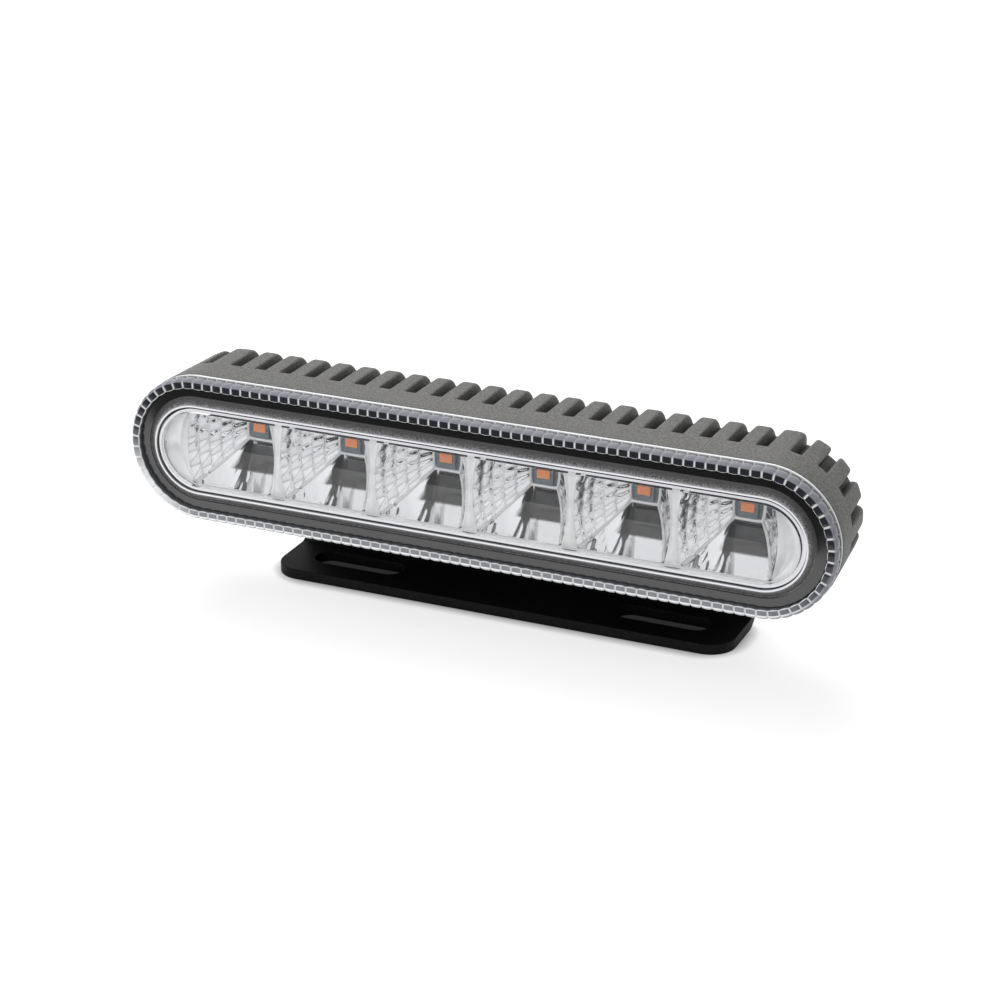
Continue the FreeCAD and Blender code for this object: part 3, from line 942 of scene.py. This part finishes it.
def makeRim():
    look = reflectorLook
    bm = bmesh.new()
    rows = look["facets"][1] * look["facetSteps"]
    for x in cupPlaces[:-1]:
        addPatch(bm, look["dividerSteps"], rows, dividerPatch(x, look))
    for hand in (-1, 1):
        addPatch(bm, look["bandSteps"], 1, bandPatch(hand, look))
        addPatch(bm, look["dishSteps"], rows, endDish(hand, look))
    thin, thick = look["ridge"]
    for x in cupPlaces:
        for hand in (-1, 1):
            addBar(bm, cornerLine(x, hand, look), look["cornerSteps"],
                   lambda u: thin + (thick - thin) * u)
        for side in (-1, 0, 1):
            addBar(bm, baseLine(x, side, look), look["collarSteps"], lambda u: look["collar"])
    sweep(bm, smoothWalk, beadRows(look), lambda step, row: around(step, *row))
    bmesh.ops.remove_doubles(bm, verts=bm.verts, dist=meshLook["weld"] * mm)
    bmesh.ops.recalc_face_normals(bm, faces=bm.faces)
    return bm


addPiece("reflectorRim", makeRim(), "rim", "reflector", sharp=40)
print("reflector rim made")

# finishes of the pieces that stay as the frame has them
nodeFinishes = {
    "gasket": "seal", "led_board": "board", "thermal_pad": "pad", "ring_board": "ringBoard",
    "ring_leds": "package", "inductor": "component", "driver_chip": "component",
    "cable_gland": "rubber",
}
numberedFinishes = {"led": "package", "emitter": "emitter", "capacitor": "ceramic"}
for name, node in nodes.items():
    finish = nodeFinishes.get(name) or numberedFinishes.get(name.rsplit("_", 1)[0])
    if finish is None and name.endswith(("_left", "_right")):
        finish = "steel"
    if finish:
        node.data.materials.clear()
        node.data.materials.append(finishes[finish])
print("frame finishes set")

stageLook = {
    "floorSize": 3.0,
    "floorColour": 0.4,
    "floorLift": 0.7,
    "contact": 2.5,  # millimetres outside the foot's edge where its painted shade ends
    "footInset": 1.5,  # and inside it where the painted shade starts to lift
    "footCorner": 7.0,
    # level of the painted shadow under the foot
    "underFoot": 0.03,
    "worldDiffuse": (0.74, 0.3),  # from the left to the right
    "worldSpan": (-0.3, 0.9),
    "floorShare": 0.5,  # how much of the lift the object itself gets
    "tableEdge": (67.0, 0.077),  # white table in front of the lamp: its reach and slant
    "cardSize": 900.0,
    "cardHeight": 0.3,
    "roomColour": (0.02, 0.02, 0.022, 1),
    "darkSide": (0.37, -0.85, 0.38),  # the unlit part of the studio, behind the photo's camera
    "darkSpread": (0.955, 0.98),
    "darkLevel": 0.3,
    "aim": (0, 0, 0.02),
}
softboxes = {
    "topBox": {"place": (-0.24, 0.3, 0.62), "size": (0.6, 0.45), "power": 4.3},
    "frontBox": {"place": (-0.2, -0.75, 0.3), "size": (0.6, 0.5), "power": 2.7},
}


def addToStage(name, bm, material):
    made = newObject(name, bm, material)
    return made


def paintedFootShade(tree, links):
    # painted contact shadow: nearly 0 under the bracket's foot, rising to 1 a little way off
    look = stageLook
    place = tree.new("ShaderNodeTexCoord")
    axes = tree.new("ShaderNodeSeparateXYZ")
    links.new(place.outputs["Object"], axes.inputs[0])
    corner = look["footCorner"] * mm
    sides = []
    for socket, low, high in ((axes.outputs["X"], bracketLow.x, bracketHigh.x),
                              (axes.outputs["Y"], bracketLow.y, bracketHigh.y)):
        middle = addMath(tree, links, "SUBTRACT", socket, (low + high) / 2)
        offset = addMath(tree, links, "ABSOLUTE", middle)
        away = addMath(tree, links, "SUBTRACT", offset, (high - low) / 2 - corner)
        outside = addMath(tree, links, "MAXIMUM", away, 0.0)
        sides.append(addMath(tree, links, "POWER", outside, 2.0))
    away = addMath(tree, links, "SQRT", addMath(tree, links, "ADD", *sides))
    return addRange(tree, links, away, corner - look["footInset"] * mm,
                    corner + look["contact"] * mm, look["underFoot"])


def makeFloor():
    look = stageLook
    made, tree, links = cleanMaterial("paleFloor")
    shade = paintedFootShade(tree, links)
    matte = tree.new("ShaderNodeBsdfDiffuse")
    links.new(addMath(tree, links, "MULTIPLY", shade, look["floorColour"]), matte.inputs["Color"])
    lift = tree.new("ShaderNodeEmission")
    path = tree.new("ShaderNodeLightPath")
    seen = addRange(tree, links, path.outputs["Is Diffuse Ray"], 0.0, 1.0, 1.0, look["floorShare"])
    strength = addMath(tree, links, "MULTIPLY", seen, look["floorLift"])
    links.new(addMath(tree, links, "MULTIPLY", strength, shade), lift.inputs["Strength"])
    both = tree.new("ShaderNodeAddShader")
    links.new(matte.outputs[0], both.inputs[0])
    links.new(lift.outputs[0], both.inputs[1])
    shaderOut(tree, links, both)
    bm = bmesh.new()
    bmesh.ops.create_grid(bm, x_segments=1, y_segments=1, size=look["floorSize"] / 2)
    addToStage("floor", bm, made)


def makeDarkRoom():
    # where the white table ends: seen only in gloss and through the window
    look = stageLook
    made, tree, links = cleanMaterial("darkRoom")
    matte = tree.new("ShaderNodeBsdfDiffuse")
    matte.inputs["Color"].default_value = look["roomColour"]
    shaderOut(tree, links, matte)
    near, slant = look["tableEdge"]
    size = look["cardSize"]
    bm = bmesh.new()
    grid = bmesh.ops.create_grid(bm, x_segments=1, y_segments=1, size=size)
    for vert in grid["verts"]:
        edge = -near + slant * vert.co.x
        place = lampPoint(vert.co.x, edge if vert.co.y > 0 else -2 * size, 0)
        vert.co = (place.x, place.y, look["cardHeight"] * mm)
    card = addToStage("darkRoom", bm, made)
    card.visible_camera = False
    card.visible_diffuse = False
    card.visible_shadow = False


def makeWorld():
    # white where it is seen, a dimmer light from the right, and an unlit side in gloss and glass
    look = stageLook
    world = bpy.data.worlds.new("whiteStudio")
    world.use_nodes = True
    tree, links = world.node_tree.nodes, world.node_tree.links
    tree.clear()
    path = tree.new("ShaderNodeLightPath")
    mirrored = addMath(tree, links, "MAXIMUM", path.outputs["Is Glossy Ray"],
                       path.outputs["Is Transmission Ray"])
    seen = addMath(tree, links, "MAXIMUM", path.outputs["Is Camera Ray"], mirrored)
    place = tree.new("ShaderNodeTexCoord")
    darkSide = tree.new("ShaderNodeVectorMath")
    darkSide.operation = "DOT_PRODUCT"
    darkSide.inputs[1].default_value = look["darkSide"]
    links.new(place.outputs["Generated"], darkSide.inputs[0])
    straight = addRange(tree, links, path.outputs["Diffuse Depth"], 0.0, 1.0, 1.0, 0.0)
    direct = addMath(tree, links, "MULTIPLY", mirrored, straight)
    patch = addRange(tree, links, darkSide.outputs["Value"], *look["darkSpread"])
    room = addMath(tree, links, "MULTIPLY", patch, direct)
    axes = tree.new("ShaderNodeSeparateXYZ")
    links.new(place.outputs["Generated"], axes.inputs[0])
    soft = addRange(tree, links, axes.outputs["X"], *look["worldSpan"], *look["worldDiffuse"])
    level = addMath(tree, links, "MAXIMUM", seen, soft)
    dimmed = addRange(tree, links, room, 0.0, 1.0, 1.0, look["darkLevel"])
    sky = tree.new("ShaderNodeBackground")
    sky.inputs["Color"].default_value = (1, 1, 1, 1)
    links.new(addMath(tree, links, "MULTIPLY", level, dimmed), sky.inputs["Strength"])
    out = tree.new("ShaderNodeOutputWorld")
    links.new(sky.outputs[0], out.inputs["Surface"])
    bpy.context.scene.world = world


def addSoftbox(name, look):
    light = bpy.data.lights.new(name, "AREA")
    light.shape = "RECTANGLE"
    light.size, light.size_y = look["size"]
    light.energy = look["power"]
    softbox = bpy.data.objects.new(name, light)
    softbox.location = look["place"]
    softbox.visible_glossy = False
    softbox.visible_transmission = False
    ahead = Vector(stageLook["aim"]) - Vector(look["place"])
    softbox.rotation_euler = ahead.to_track_quat("-Z", "Y").to_euler()
    bpy.context.scene.collection.objects.link(softbox)


makeFloor()
makeDarkRoom()
makeWorld()
for name, look in softboxes.items():
    addSoftbox(name, look)
print("stage made")

cameraLook = {
    "azimuth": 23.675, "elevation": 22.362, "distance": 445.8,
    "target": (6.773, 0.0, 0.356), "focal": 92.67, "sensor": 36, "nearest": 0.01,
}


def makeCamera():
    look = cameraLook
    turn = radians(look["azimuth"])
    rise = radians(look["elevation"])
    back = Vector((sin(turn) * cos(rise), -cos(turn) * cos(rise), sin(rise)))
    view = bpy.data.cameras.new("photoView")
    view.lens = look["focal"]
    view.sensor_width = look["sensor"]
    view.clip_start = look["nearest"]
    camera = bpy.data.objects.new("photoView", view)
    camera.location = lampPoint(*look["target"]) + back * look["distance"] * mm
    camera.rotation_euler = back.to_track_quat("Z", "Y").to_euler()
    bpy.context.scene.collection.objects.link(camera)
    bpy.context.scene.camera = camera


makeCamera()
bpy.context.scene.view_settings.view_transform = "Standard"
print("camera set")
